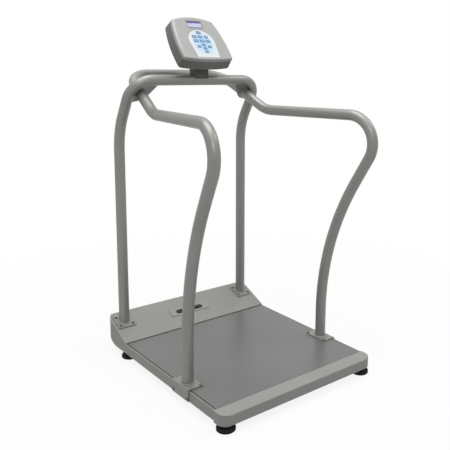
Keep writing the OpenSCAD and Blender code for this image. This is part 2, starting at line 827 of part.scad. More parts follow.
// Welded supports that carry the rear posts through the cover down to the frame
module post_supports() {
  low = -cover_t - support_t;
  y0 = rear_beam_y - 10;
  y1 = hoop_y + rear_flange_l / 2 + 5;
  color("#5f605d") both_sides() difference() {
    union() {
      on_slope(hoop_x, hoop_s) translate([-rear_flange_w / 2, 2 - rear_flange_l / 2, low])
        cube([rear_flange_w, rear_flange_l - 4, support_t]);
      for (x = [-1, 1]) translate([hoop_x + x * (rear_flange_w - web_t) / 2, 0, 0]) along_x(web_t)
        polygon([[y0, plate_z0], [rear_beam_y1, plate_z0], [y1, belly_z - 10],
                 [y1, slope_z(y1, low)], [y0, slope_z(y0, low)]]);
    }
    for (i = [-1, 1], j = [-1, 1])
      on_slope(hoop_x + i * rear_screw_x, hoop_s + j * rear_screw_s)
        translate([0, 0, -20]) cylinder(d = tap_d, h = 20);
    translate([hoop_x, hoop_y, plate_z1]) cylinder(d = 2 * cable_d, h = 2 * plate_z1);
  }
}
post_supports();

// Front flanges: a plate on the mat that folds down over the skirt
module front_flanges() {
  x0 = post_x - front_flange_in;
  x1 = base_w / 2;
  color("#93938e") difference() {
    both_sides() along_y(post_y - front_flange_l / 2, post_y + front_flange_l / 2) {
      translate([x0, deck_h]) square([x1 - x0, flange_t]);
      translate([x1, skirt_gap]) square([flange_t, deck_h - skirt_gap]);
      intersection() {
        translate([x1, deck_h]) circle(r = flange_t);
        translate([x1, deck_h]) square(flange_t + past);
      }
    }
    at_deck_screws() translate([0, 0, -past]) cylinder(d = clear_d, h = flange_t + 2 * past);
    at_flap_screws() translate([0, 0, -past]) cylinder(d = clear_d, h = flange_t + 2 * past);
  }
}
front_flanges();

// Rear flanges on the cover's slope
module rear_flanges() {
  color("#93938e") difference() {
    for (x = [-hoop_x, hoop_x])
      on_slope(x, hoop_s) translate([-rear_flange_w / 2, -rear_flange_l / 2, 0])
        cube([rear_flange_w, rear_flange_l, flange_t]);
    at_slope_screws() translate([0, 0, -past]) cylinder(d = clear_d, h = flange_t + 2 * past);
    translate([hoop_x, hoop_y, deck_h]) cylinder(d = 2 * cable_d, h = 2 * plate_z1);
  }
}
rear_flanges();

// Side rails: front post, sweep, grip rail, rise and half of the rear crossbar
module side_rail_right() {
  color("#8a8a85") bent_tube(rail_path, rail_radii, tube_d, tube_t);
}
module side_rail_left() mirror([1, 0, 0]) side_rail_right();
side_rail_left();
side_rail_right();

// Rear hoop: two posts that lean forward into the front crossbar
module rear_hoop() {
  color("#8a8a85") difference() {
    bent_tube(hoop_path, hoop_radii, tube_d, tube_t);
    on_slope(0, 0) translate([-base_w / 2, 0, -3 * tube_d])
      cube([base_w, cover_l * 1.2, 3 * tube_d + flange_t]);
    translate([0, bar_y, bar_z]) cylinder(d = pin_d + 2 * fit_gap, h = tube_d);
    at_saddle_screws() translate([0, 0, -tube_d / 2]) cylinder(d = tap_d, h = tube_d);
  }
}
rear_hoop();

// Gusset plates inside the hoop's corners, each with a side rail passing through
module corner_gussets() {
  o = [hoop_x, bar_y, bar_z];
  u = [-1, 0, 0];
  v = unit([0, hoop_y - bar_y, hoop_knee_z - bar_z]);
  w = cross(u, v);
  p = rail_path[3];
  q = rail_path[4];
  hit = p + (q - p) * ((o - p) * w) / ((q - p) * w);
  c = [(hit - o) * u, (hit - o) * v];
  r = tube_d / 2 + gusset_rim;
  edge = tube_d / 2 + hair + fit_gap;
  a = [gusset_bar, edge];
  b = [edge, gusset_post];
  color("#8a8a85") both_sides() difference() {
    in_frame(o, u, v, w) linear_extrude(gusset_t, center = true) difference() {
      union() {
        polygon([[edge, edge], a, touch(a, c, r, 1), touch(b, c, r, -1), b]);
        translate(c) circle(r = r);
      }
      difference() {
        square(bar_r);
        translate([bar_r, bar_r]) circle(r = bar_r - edge, $fn = 96);
      }
    }
    rod(p, q, tube_d + 2 * fit_gap, $fn = 48);
  }
}
corner_gussets();

// Screws of the post flanges and of the saddle
module flange_screws() {
  color("#b9b9b4") {
    at_deck_screws() translate([0, 0, flange_t]) button_screw(screw_d, 17);
    at_flap_screws() translate([0, 0, flange_t]) button_screw(screw_d, 13);
    at_slope_screws() translate([0, 0, flange_t]) button_screw(screw_d, 14);
    at_saddle_screws() button_screw(screw_d, 10);
  }
}
flange_screws();

// Load cells: steel bars with a rounded free end at the stud
module load_cells() {
  mid = (cell_l - arm_l) / 2 + 6;
  color("#a9aaa8") at_feet() difference() {
    union() {
      translate([0, 0, cell_z0]) cylinder(d = cell_w, h = cell_h);
      box([-cell_w / 2, 0, cell_z0], [cell_w / 2, cell_l, cell_z1]);
    }
    translate([0, 0, cell_z0 - past]) cylinder(d = stud_d + 2 * fit_gap, h = cell_h + 2 * past);
    for (y = [mid - 5, mid + 5])
      translate([0, y, (cell_z0 + cell_z1) / 2]) rotate([0, 90, 0])
        cylinder(d = cell_h - 6, h = cell_w + 2 * past, center = true);
    for (y = cell_screw_y) translate([0, y, cell_z0 - past]) {
      cylinder(d = cell_screw_d + hole_play, h = cell_h + 2 * past);
      cylinder(d = 15, h = 6 + past);
    }
  }
}
load_cells();

// Screws that hold the load cells to their arms
module cell_screws() {
  color("#4a4a48") at_feet() for (y = cell_screw_y) translate([0, y, cell_z0 + 1]) difference() {
    union() {
      cylinder(d = 13, h = 5);
      cylinder(d = cell_screw_d, h = cell_h + arm_t - 4);
    }
    translate([0, 0, -past]) cylinder(d = 7, h = 3 + past, $fn = 6);
  }
}
cell_screws();

// Lock nuts below the load cells
module foot_nuts() {
  color("#b9b9b4") at_feet() translate([0, 0, cell_z0 - nut_h]) difference() {
    cylinder(d = nut_f / cos(30), h = nut_h, $fn = 6);
    translate([0, 0, -past]) cylinder(d = stud_d + 2 * fit_gap, h = nut_h + 2 * past);
  }
}
foot_nuts();

// Box that gathers the load cells' leads, below the deck plate
module junction_box() {
  color("#d2d2cc") translate([0, box_y, box_z0]) {
    difference() {
      linear_extrude(plate_z0 - box_z0) round_rect(box_w, box_l, 4);
      translate([0, 0, box_t])
        linear_extrude(plate_z0) round_rect(box_w - 2 * box_t, box_l - 2 * box_t, 1.5);
    }
    for (x = [-1, 1], y = [-1, 1])
      translate([x * (box_w / 2 - 10), y * (box_l / 2 - 10), box_t])
        cylinder(d = 6, h = board_z - box_z0 - box_t);
  }
}
junction_box();

// Board that joins the four load cells
module junction_board() {
  color("#2f6b45") translate([0, box_y, board_z]) {
    translate([0, 0, board_t / 2])
      cube([box_w - 2 * box_t - 2, box_l - 2 * box_t - 2, board_t], center = true);
    for (x = [-35, -12, 12, 35])
      translate([x - 8, 8 - box_l / 2, board_t / 2]) cube([16, 9, 8]);
    translate([-7, 5, board_t / 2]) cube([14, 10, 2]);
  }
}
junction_board();

// Leads of the load cells, and the display's cable up through the right rear post
module signal_cables() {
  lead_y = cell_l - 8;
  x1 = foot_x - cell_w / 2;
  x0 = 38;
  turn_x = 12;
  turn_y = cover_y0 + 22;
  turn_z = plate_z1 + 4;
  color("#2b2b2b") {
    for (s = [-1, 1], f = [[foot_front_y + lead_y, box_y - box_l / 2],
                           [foot_rear_y - lead_y, box_y + box_l / 2]])
      bent_rod([[s * x1, f[0], lead_z], [s * x0, f[0], lead_z], [s * x0, f[1], lead_z]], [12], lead_d);
    bent_rod([[turn_x, box_y + box_l / 2, cable_z], [turn_x, turn_y, cable_z],
              [turn_x, turn_y, turn_z], [hoop_x, turn_y, turn_z], [hoop_x, hoop_y, turn_z],
              [hoop_x, hoop_y, hoop_knee_z], [hoop_x, bar_y, bar_z], [0, bar_y, bar_z],
              [0, bar_y, pin_z1]],
             [9, 9, 12, 12, hoop_knee_r, bar_r, 8], cable_d);
  }
}
signal_cables();

// Axles of the transport wheels
module wheel_axles() {
  end = bracket_x + bracket_t + 2;
  color("#b9b9b4") at_wheels() {
    cylinder(d = axle_d, h = 2 * end, center = true);
    for (s = [-1, 1]) translate([0, 0, s * (end - 0.9)])
      cylinder(d = axle_d + 5, h = 1.8, center = true);
  }
}
wheel_axles();

// Cheeks that carry the axles, welded to the rear beam
module wheel_brackets() {
  color("#5f605d") difference() {
    for (x = [-wheel_x, wheel_x], s = [-1, 1])
      translate([x + s * (bracket_x + bracket_t / 2), 0, 0]) along_x(bracket_t) {
        polygon([[rear_beam_y1, beam_z0], [rear_beam_y1, plate_z0], [wheel_y, wheel_z + bracket_r],
                 [wheel_y, wheel_z - bracket_r]]);
        translate([wheel_y, wheel_z]) circle(r = bracket_r);
      }
    at_wheels() cylinder(d = axle_d + 2 * fit_gap, h = 4 * wheel_w, center = true);
  }
}
wheel_brackets();

// Transport wheel with a chamfered tread and a recessed web
module transport_wheel(x) {
  bore = axle_d / 2 + fit_gap;
  side = wheel_w / 2;
  color("#3a3a39") translate([x, wheel_y, wheel_z]) rotate([0, 90, 0]) rotate_extrude()
    difference() {
      polygon([[bore, -side], [wheel_r - 2, -side], [wheel_r, 4 - side], [wheel_r, side - 4],
               [wheel_r - 2, side], [bore, side]]);
      for (s = [-1, 1]) translate([axle_d + 5.5, s * side]) square([7, 8], center = true);
    }
}
module transport_wheel_left() transport_wheel(-wheel_x);
module transport_wheel_right() transport_wheel(wheel_x);
transport_wheel_left();
transport_wheel_right();

// Rubber pad of a levelling foot
module foot_pad(x, y) {
  r = foot_d / 2;
  bore = stud_d / 2 + fit_gap;
  color("#1f1f1f") translate([x, y, 0]) rotate_extrude()
    polygon([[0, 0], [r - 2, 0], [r, 2], [r, foot_h - 8], [r - 4, foot_h - 3.5], [r - 10, foot_h],
             [bore, foot_h], [bore, stud_z0], [0, stud_z0]]);
}
module foot_pad_front_left() foot_pad(-foot_x, foot_front_y);
module foot_pad_front_right() foot_pad(foot_x, foot_front_y);
module foot_pad_rear_left() foot_pad(-foot_x, foot_rear_y);
module foot_pad_rear_right() foot_pad(foot_x, foot_rear_y);
foot_pad_front_left();
foot_pad_front_right();
foot_pad_rear_left();
foot_pad_rear_right();

// Threaded stud of a levelling foot, with a chamfered top
module foot_stud(x, y) {
  r = stud_d / 2;
  color("#b9b9b4") translate([x, y, 0]) rotate_extrude()
    polygon([[0, stud_z0], [r, stud_z0], [r, stud_z1 - 1.5], [r - 1.5, stud_z1], [0, stud_z1]]);
}
module foot_stud_front_left() foot_stud(-foot_x, foot_front_y);
module foot_stud_front_right() foot_stud(foot_x, foot_front_y);
module foot_stud_rear_left() foot_stud(-foot_x, foot_rear_y);
module foot_stud_rear_right() foot_stud(foot_x, foot_rear_y);
foot_stud_front_left();
foot_stud_front_right();
foot_stud_rear_left();
foot_stud_rear_right();

// Saddle astride the front crossbar
module display_saddle() {
  color("#4a4743") difference() {
    translate([0, bar_y, bar_z + saddle_low])
      linear_extrude(saddle_top - saddle_low) round_rect(mount_w, mount_l, neck_r);
    rod([-mount_w, bar_y, bar_z], [mount_w, bar_y, bar_z], tube_d + 2 * fit_gap, $fn = 48);
    translate([0, bar_y, bar_z]) cylinder(d = pin_d + 2 * fit_gap, h = 2 * tube_d);
    at_saddle_screws() {
      translate([0, 0, -tube_d / 2]) cylinder(d = clear_d, h = tube_d);
      cylinder(d = 2 * screw_d, h = tube_d);
    }
  }
}
display_saddle();

// Hollow pin that the head turns on
module swivel_pin() {
  color("#b9b9b4") translate([0, bar_y, pin_z0]) difference() {
    cylinder(d = pin_d, h = pin_z1 - pin_z0);
    translate([0, 0, -past]) cylinder(d = pin_bore, h = pin_z1 - pin_z0 + 2 * past);
  }
}
swivel_pin();

// Neck between the saddle and the head, cut off along the head's back
module display_neck() {
  color("#4a4743") difference() {
    translate([0, bar_y, neck_z0]) linear_extrude(head_lift + 40) round_rect(mount_w, mount_l, neck_r);
    on_face() translate([-mount_w, -mount_w, -head_d])
      cube([2 * mount_w, face_h + mount_w, 3 * head_d]);
    translate([0, bar_y, neck_z0 - past]) {
      cylinder(d = pin_d + 2 * fit_gap, h = pin_z1 - neck_z0 + 2 * past);
      cylinder(d = pin_bore, h = head_lift + 40);
    }
    on_face() for (x = [-1, 1], v = neck_screw_v)
      translate([x * neck_screw_x, v, -head_d - 13]) cylinder(d = neck_screw_d + 2 * fit_gap, h = 20);
  }
}
display_neck();

// Screws from inside the rear shell into the neck
module neck_screws() {
  color("#b9b9b4") on_face() for (x = [-1, 1], v = neck_screw_v)
    translate([x * neck_screw_x, v, shell_t - head_d]) button_screw(neck_screw_d, 14);
}
neck_screws();

// Places children at the case's screws, at the depth n
module at_case_screws(n) {
  for (x = [-1, 1], p = case_screws) translate([x * p[0], p[1], n]) children();
}

// Places children at the main board's screws, at the depth n
module at_board_screws(n) {
  for (x = [-1, 1], y = [-1, 1])
    translate([x * (board_w / 2 - board_screw_in), board_v + y * (board_l / 2 - board_screw_in), n])
      children();
}

// Places children at the battery door's screws, at the depth n
module at_door_screws(n) {
  for (x = [-1, 1]) translate([x * door_screw_x, door_v, n]) children();
}

// Keypad outline, grown by g
module panel(g) {
  polygon([[-panel_foot - g, panel_low_v - g], [panel_foot + g, panel_low_v - g],
           [panel_r + g, panel_v], [-panel_r - g, panel_v]]);
  translate([0, panel_v]) circle(r = panel_r + g, $fn = 96);
}

// Silver front bezel with the display window and the keypad's pocket
module head_bezel() {
  color("#c5c4c2") on_face() difference() {
    union() {
      difference() {
        skin(concat([wall_ring(0, -bezel_d)], [for (a = [0 : 18 : 90]) edge_ring(a, 0)]));
        skin(concat([wall_ring(shell_t, -bezel_d - past)], [for (a = [0 : 30 : 90]) edge_ring(a, shell_t)]));
      }
      translate([0, 0, -pocket_d - 1.5]) linear_extrude(pocket_d) panel(shell_t);
      at_case_screws(-bezel_d) cylinder(d = 8, h = bezel_d - 1);
    }
    translate([0, 0, -pocket_d]) linear_extrude(pocket_d + past) panel(0);
    translate([0, lcd_v, -lens_t - lens_drop]) linear_extrude(bezel_d) round_rect(lcd_w, lcd_h, 3);
    translate([0, lcd_v, -bezel_d]) linear_extrude(2 * bezel_d)
      round_rect(lcd_w - 2 * window_lap, lcd_h - 2 * window_lap, 2);
    at_case_screws(-bezel_d - past) cylinder(d = case_screw_d + 2 * fit_gap, h = bezel_d - 2);
  }
}
head_bezel();

// Dark rear shell with the screw bosses and the battery opening
module head_shell() {
  floor_n = shell_t / 2 - head_d;
  color("#5a5a57") on_face() difference() {
    union() {
      difference() {
        skin(concat([for (a = [90 : -30 : 0]) back_ring(a, 0)], [wall_ring(reveal, -bezel_d)]));
        skin(concat([for (a = [90 : -45 : 0]) back_ring(a, shell_t)],
                    [wall_ring(reveal + shell_t, past - bezel_d)]));
      }
      at_case_screws(floor_n) cylinder(d = 10, h = -bezel_d - floor_n);
      at_board_screws(floor_n) cylinder(d = 7, h = board_level - floor_n);
      at_door_screws(floor_n) cylinder(d = 6, h = 8);
    }
    at_case_screws(-head_d - past) {
      cylinder(d = case_screw_d + hole_play, h = head_d);
      cylinder(d = 7, h = case_screw_level + head_d + past);
    }
    at_board_screws(board_level - 12) cylinder(d = case_screw_d + 2 * fit_gap, h = 12 + past);
    at_door_screws(-head_d) cylinder(d = case_screw_d + 2 * fit_gap, h = 8);
    for (x = [-1, 1], v = neck_screw_v) translate([x * neck_screw_x, v, -head_d - past])
      cylinder(d = neck_screw_d + hole_play, h = shell_t + 2 * past);
    translate([0, door_v, -head_d - past]) {
      linear_extrude(door_t + past) round_rect(door_w + 0.4, door_h + 0.4, 3);
      linear_extrude(shell_t + 2 * past)
        square([door_w - 2 * door_lap, door_h - 2 * door_lap], center = true);
    }
  }
}
head_shell();

// Window in front of the display
module lcd_lens() {
  color("#8fb3c9") on_face() translate([0, lcd_v, -lens_t - lens_drop])
    linear_extrude(lens_t) round_rect(lcd_w - 0.2, lcd_h - 0.2, 2.9);
}
lcd_lens();

// Display behind the window
module lcd_module() {
  color("#24384a") on_face() translate([0, lcd_v, -shell_t - 3.6])
    cube([lcd_w - 4, lcd_h - 3, 7], center = true);
}
lcd_module();

function key_size(k) = KEYS[k][2] == small ? [small_key_w, small_key_h] : [key_w, key_h];

// Outline of key k, grown by g
module key_shape(k, g) {
  size = key_size(k);
  translate([KEYS[k][0], KEYS[k][1]])
    if (KEYS[k][2] == round_key) circle(d = key_h + 3 + 2 * g);
    else round_rect(size[0] + 2 * g, size[1] + 2 * g, key_r + g);
}

// Printed sheet around the keys
module key_overlay() {
  color("#dfe6ea") on_face() translate([0, 0, switch_level]) difference() {
    linear_extrude(-switch_level - overlay_drop) panel(-0.2);
    for (k = [0 : len(KEYS) - 1])
      translate([0, 0, -past]) linear_extrude(pocket_d + past) key_shape(k, key_gap);
  }
}
key_overlay();

// Switch sheet on the pocket's floor
module switch_sheet() {
  color("#4c5560") on_face() translate([0, 0, -pocket_d]) linear_extrude(switch_t) panel(-0.2);
}
switch_sheet();

// Key k at rest, above the switch sheet by its travel and a little more
module key(k, tint) {
  low = switch_level + key_travel + 0.1;
  color(tint) on_face() translate([0, 0, low]) linear_extrude(key_proud - low) key_shape(k, 0);
}
module key_1() key(0, "#3f6d9c");
module key_2() key(1, "#3f6d9c");
module key_3() key(2, "#5d9a86");
module key_4() key(3, "#6b5a94");
module key_5() key(4, "#3f6d9c");
module key_6() key(5, "#3f6d9c");
module key_7() key(6, "#3f6d9c");
module key_8() key(7, "#3f6d9c");
module key_9() key(8, "#3f6d9c");
module key_10() key(9, "#3f6d9c");
module key_11() key(10, "#3f6d9c");
module key_12() key(11, "#3f6d9c");
key_1();
key_2();
key_3();
key_4();
key_5();
key_6();
key_7();
key_8();
key_9();
key_10();
key_11();
key_12();

// Main board on the rear shell's bosses
module main_board() {
  color("#2f6b45") on_face() difference() {
    union() {
      translate([-board_w / 2, board_v - board_l / 2, board_level]) cube([board_w, board_l, board_t]);
      translate([-chip_w, board_v - chip_w, board_level]) cube([chip_w, chip_w, board_t + chip_h]);
      translate([chip_w, board_v - chip_w, board_level]) cube([chip_w, chip_w / 2, board_t + chip_h]);
      translate([-board_w / 3, board_v + board_l / 2 - 2 * plug_l, board_level])
        cube([plug_w, plug_l, board_t + plug_h]);
    }
    at_board_screws(board_level - past) cylinder(d = case_screw_d + hole_play, h = board_t + 2 * past);
  }
}
main_board();

// Battery door, let into the shell's back
module battery_door() {
  color("#54544f") on_face() difference() {
    translate([0, door_v, -head_d]) linear_extrude(door_t) round_rect(door_w, door_h, 2.8);
    at_door_screws(-head_d - past) cylinder(d = case_screw_d + hole_play, h = door_t + 2 * past);
  }
}
battery_door();

// Holder with four cells, on the door
module battery_pack() {
  half = 2 * cell_d + 1;
  color("#33363a") on_face() translate([0, door_v, door_t - head_d]) {
    box([-31, -half, 0], [31, half, 8]);
    for (i = [-1.5 : 1 : 1.5]) translate([-25, i * cell_d, 8]) rotate([0, 90, 0])
      cylinder(d = cell_d - 0.2, h = 50);
  }
}
battery_pack();

// Screws of the case, the main board and the battery door
module head_screws() {
  color("#b9b9b4") on_face() {
    at_case_screws(case_screw_level) mirror([0, 0, 1]) button_screw(case_screw_d, 16);
    at_board_screws(board_level + board_t) button_screw(case_screw_d, 10);
    at_door_screws(-head_d) mirror([0, 0, 1]) button_screw(case_screw_d, 7);
  }
}
head_screws();
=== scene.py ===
# %% [markdown]
# # A stand-on clinic scale with bent handrails
# This notebook dresses a finished solid model. The solids arrive as a fixed frame, so nothing here
# changes a size: every cell adds a finish, or a small piece that sits on the solids.

# %% Load the solids
import math

import bmesh
import bpy
from mathutils import Matrix, Vector


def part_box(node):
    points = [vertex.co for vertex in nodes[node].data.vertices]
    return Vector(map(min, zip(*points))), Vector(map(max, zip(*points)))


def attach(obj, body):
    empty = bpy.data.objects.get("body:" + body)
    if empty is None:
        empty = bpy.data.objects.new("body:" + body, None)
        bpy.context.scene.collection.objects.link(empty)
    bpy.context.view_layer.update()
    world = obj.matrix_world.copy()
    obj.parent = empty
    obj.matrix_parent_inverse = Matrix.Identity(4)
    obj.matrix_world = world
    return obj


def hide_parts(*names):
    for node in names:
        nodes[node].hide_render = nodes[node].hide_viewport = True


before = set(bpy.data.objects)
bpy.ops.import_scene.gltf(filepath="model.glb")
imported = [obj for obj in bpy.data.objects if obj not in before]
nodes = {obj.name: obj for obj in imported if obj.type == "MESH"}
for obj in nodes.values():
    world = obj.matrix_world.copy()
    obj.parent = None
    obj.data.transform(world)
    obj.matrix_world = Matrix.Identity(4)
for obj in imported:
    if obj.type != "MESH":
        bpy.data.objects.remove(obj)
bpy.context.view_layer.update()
MM = 0.001

# %% [markdown]
# ## The camera
# The photograph was taken from the front left, a little above the grips, with the object left of
# the middle. The lens, the place and the small roll come from fitting the tubes and the deck's
# edges, and the shift puts the picture's centre where the photograph has it.

# %% Place the camera
def look(place, yaw, pitch, roll):
    yaw, pitch, roll = math.radians(yaw), math.radians(pitch), math.radians(roll)
    ahead = Vector((-math.sin(yaw) * math.cos(pitch), math.cos(yaw) * math.cos(pitch), -math.sin(pitch)))
    side = Vector((math.cos(yaw), math.sin(yaw), 0))
    above = side.cross(ahead)
    across = side * math.cos(roll) + above * math.sin(roll)
    upright = above * math.cos(roll) - side * math.sin(roll)
    turned = Matrix((across, upright, -ahead)).transposed().to_4x4()
    turned.translation = place
    return turned


eye = bpy.data.cameras.new("camera")
eye.sensor_width = 36
eye.lens = 50.816
eye.shift_x = -0.1410
eye.shift_y = -0.1107
eye.clip_end = 60
camera = bpy.data.objects.new("camera", eye)
camera.matrix_world = look(Vector((-1.29305, -1.80431, 1.07543)), -40.614, 9.765, 0.926)
bpy.context.scene.collection.objects.link(camera)
bpy.context.scene.camera = camera
bpy.context.scene.view_settings.view_transform = "Standard"
print("camera stands", round(camera.matrix_world.translation.length, 2), "m from the origin")

# %% [markdown]
# ## Colours and nodes
# A paint chip is written as a hex value on a screen, but a shader wants linear light. One function
# turns the one into the other. A second one adds a shader node, sets it up and wires it.

# %% Helpers for materials
def linear(chip):
    parts = [int(chip[i:i + 2], 16) / 255 for i in (0, 2, 4)]
    return tuple(p / 12.92 if p <= 0.04045 else ((p + 0.055) / 1.055) ** 2.4 for p in parts) + (1.0,)


def add(tree, kind, sockets=None, **settings):
    node = tree.nodes.new("ShaderNode" + kind)
    for name, value in settings.items():
        setattr(node, name, value)
    for name, value in (sockets or {}).items():
        if isinstance(value, bpy.types.NodeSocket):
            tree.links.new(value, node.inputs[name])
        else:
            node.inputs[name].default_value = value
    return node


def blank(name):
    made = bpy.data.materials.new(name)
    made.use_nodes = True
    made.node_tree.nodes.clear()
    return made, made.node_tree


def close(tree, surface, bump=None):
    if bump is not None:
        tree.links.new(bump.outputs["Normal"], surface.inputs["Normal"])
    add(tree, "OutputMaterial", {"Surface": surface.outputs["BSDF"]})


# %% [markdown]
# ## Powder coat with metal flake
# The tubes, flanges and gussets are steel with a silver-grey powder coat. The powder melts into a
# skin with a very shallow orange peel about 3 mm across, and the flake makes its highlight soft and
# metallic. One noise bends the normal a little. A large one drifts the colour, as a hand-sprayed
# coat does, and a third one of 0.8 mm stands for the flakes. Real flake is finer than a pixel here, so
# it is drawn as coarse as it needs to show.

# %% Powder coat
def powder_coat(name, chip, shade, metal, rough):
    made, tree = blank(name)
    spot = add(tree, "TexCoord").outputs["Object"]
    drift = add(tree, "TexNoise", {"Vector": spot, "Scale": 5.0, "Detail": 3.0})
    tint = add(tree, "ValToRGB", {"Fac": drift.outputs["Fac"]})
    tint.color_ramp.elements[0].position = 0.35
    tint.color_ramp.elements[0].color = linear(shade)
    tint.color_ramp.elements[1].position = 0.7
    tint.color_ramp.elements[1].color = linear(chip)
    flake = add(tree, "TexNoise", {"Vector": spot, "Scale": 1 / (0.8 * MM), "Detail": 1.0})
    glint = add(tree, "MapRange", {"Value": flake.outputs["Fac"], "From Min": 0.3, "From Max": 0.7,
                                   "To Min": 0.94, "To Max": 1.06})
    tint = add(tree, "VectorMath", {0: tint.outputs["Color"], "Scale": glint.outputs["Result"]},
               operation="SCALE")
    peel = add(tree, "TexNoise", {"Vector": spot, "Scale": 1 / (3.0 * MM), "Detail": 1.0})
    skin = add(tree, "Bump", {"Strength": 0.03, "Distance": 0.2 * MM, "Height": peel.outputs["Fac"]})
    gloss = add(tree, "MapRange", {"Value": drift.outputs["Fac"], "To Min": rough - 0.04,
                                   "To Max": rough + 0.05})
    coat = add(tree, "BsdfPrincipled", {"Base Color": tint.outputs["Vector"], "Metallic": metal,
                                        "Roughness": gloss.outputs["Result"]})
    close(tree, coat, skin)
    return made


tube_coat = powder_coat("powder_coated_steel_tube", "989793", "8f8e8a", 0.35, 0.4)
flange_coat = powder_coat("powder_coated_steel_flange", "94938e", "8d8c87", 0.3, 0.42)
panel_coat = powder_coat("powder_coated_steel_panel", "979692", "8f8e8a", 0.2, 0.5)
mount_coat = powder_coat("powder_coated_steel_mount", "4f4c48", "45423f", 0.2, 0.45)
frame_coat = powder_coat("black_grey_primed_steel", "62635f", "595a57", 0.1, 0.6)
print("powder coats:", tube_coat.name, flange_coat.name, panel_coat.name)

# %% [markdown]
# ## The mat
# The mat is a calendered vinyl sheet with a fine pebble that stops a shoe from sliding. The pebble
# is a cell pattern 1.6 mm across, and each cell is a little hill. The sheet is worn smoother and a
# shade lighter where people stand, which a very large noise gives. The open gap round the sheet lies
# in shade, and that shade is painted into the colour as a thin dark line: the last 1.7 mm before each
# edge go dark, and 3 mm before the cover, whose lip shades the sheet.

# %% Vinyl mat
mat_vinyl, tree = blank("pebbled_vinyl_sheet")
spot = add(tree, "TexCoord").outputs["Object"]
mat_low, mat_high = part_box("deck_mat")
middle = (mat_low + mat_high) / 2
away = add(tree, "VectorMath", {0: spot, 1: middle}, operation="SUBTRACT")
away = add(tree, "VectorMath", {0: away.outputs["Vector"]}, operation="ABSOLUTE")
away = add(tree, "SeparateXYZ", {"Vector": away.outputs["Vector"]})
to_side = add(tree, "Math", {0: mat_high.x - middle.x, 1: away.outputs["X"]}, operation="SUBTRACT")
to_end = add(tree, "Math", {0: mat_high.y - middle.y, 1: away.outputs["Y"]}, operation="SUBTRACT")
to_edge = add(tree, "Math", {0: to_side.outputs["Value"], 1: to_end.outputs["Value"]}, operation="MINIMUM")
rearward = add(tree, "SeparateXYZ", {"Vector": spot})
LIP_SHADE = 1.5 * MM
to_cover = add(tree, "Math", {0: mat_high.y - LIP_SHADE, 1: rearward.outputs["Y"]}, operation="SUBTRACT")
to_edge = add(tree, "Math", {0: to_edge.outputs["Value"], 1: to_cover.outputs["Value"]}, operation="MINIMUM")
# Painted shade: this mask darkens the sheet along the gap round it and under the cover's lip.
painted_gap_shade = add(tree, "MapRange", {"Value": to_edge.outputs["Value"], "From Min": 1.2 * MM, "From Max": 2.2 * MM})
pebble = add(tree, "TexVoronoi", {"Vector": spot, "Scale": 1 / (1.6 * MM)}, feature="F1")
wear = add(tree, "TexNoise", {"Vector": spot, "Scale": 3.0, "Detail": 4.0})
tint = add(tree, "ValToRGB", {"Fac": wear.outputs["Fac"]})
tint.color_ramp.elements[0].position = 0.3
tint.color_ramp.elements[0].color = linear("6b6a69")
tint.color_ramp.elements[1].position = 0.75
tint.color_ramp.elements[1].color = linear("747372")
# The dark colour mixed in here is painted shade in the gap round the sheet.
gap_shade_colour = add(tree, "Mix", {0: painted_gap_shade.outputs["Result"], 6: linear("2c2c2a"), 7: tint.outputs["Color"]},
           data_type="RGBA")
hills = add(tree, "Bump", {"Strength": 0.12, "Distance": 0.2 * MM, "Height": pebble.outputs["Distance"]},
            invert=True)
sheen = add(tree, "MapRange", {"Value": wear.outputs["Fac"], "To Min": 0.30, "To Max": 0.38})
close(tree, add(tree, "BsdfPrincipled", {"Base Color": gap_shade_colour.outputs[2], "Roughness": sheen.outputs["Result"],
                                         "IOR": 1.5}), hills)

# %% [markdown]
# ## Moulded plastics
# The front cap, the head's shell, the junction box and the battery parts are injection-moulded ABS.
# Spark erosion leaves the tool with an even grain, so the moulding has a fine, dull grain of about
# half a millimetre. The bezel is the same plastic under a silver lacquer, which is smoother.

# %% ABS in several colours
def moulded(name, chip, grain, rough, metal=0.0, coat=0.0, shine=0.5):
    made, tree = blank(name)
    spot = add(tree, "TexCoord").outputs["Object"]
    spark = add(tree, "TexNoise", {"Vector": spot, "Scale": 1 / (grain * MM), "Detail": 3.0})
    cloud = add(tree, "TexNoise", {"Vector": spot, "Scale": 12.0, "Detail": 2.0})
    base = linear(chip)
    tint = add(tree, "ValToRGB", {"Fac": cloud.outputs["Fac"]})
    tint.color_ramp.elements[0].color = tuple(c * 0.95 for c in base[:3]) + (1.0,)
    tint.color_ramp.elements[1].color = tuple(min(1.0, c * 1.04) for c in base[:3]) + (1.0,)
    skin = add(tree, "Bump", {"Strength": 0.12, "Distance": 0.12 * MM, "Height": spark.outputs["Fac"]})
    close(tree, add(tree, "BsdfPrincipled", {"Base Color": tint.outputs["Color"], "Metallic": metal,
                                             "Roughness": rough, "Coat Weight": coat, "Coat Roughness": 0.25,
                                             "Specular IOR Level": shine}), skin)
    return made


cap_abs = moulded("grained_light_abs", "989795", 0.8, 0.45)
shell_abs = moulded("grained_dark_abs", "6e6e6a", 0.6, 0.5)
bezel_abs = moulded("silver_lacquered_abs", "a0a19f", 0.4, 0.5, 0.3, 0.0)
slot_abs = moulded("smooth_grey_abs", "9b9a97", 0.5, 0.45)
box_abs = moulded("light_box_abs", "d2d2cc", 0.6, 0.5)
pack_abs = moulded("black_battery_holder", "33363a", 0.5, 0.5)
sheath_pvc = moulded("black_pvc_sheath", "2b2b2b", 0.6, 0.45)
foot_rubber = moulded("black_nitrile_rubber", "0c0c0c", 0.7, 0.7, shine=0.2)
tread_rubber = moulded("grey_polyurethane_tread", "3a3a39", 0.7, 0.6)
board_resist = moulded("green_solder_resist", "2f6b45", 0.3, 0.35, 0.0, 0.3)
switch_film = moulded("dark_switch_film", "4c5560", 0.3, 0.4)
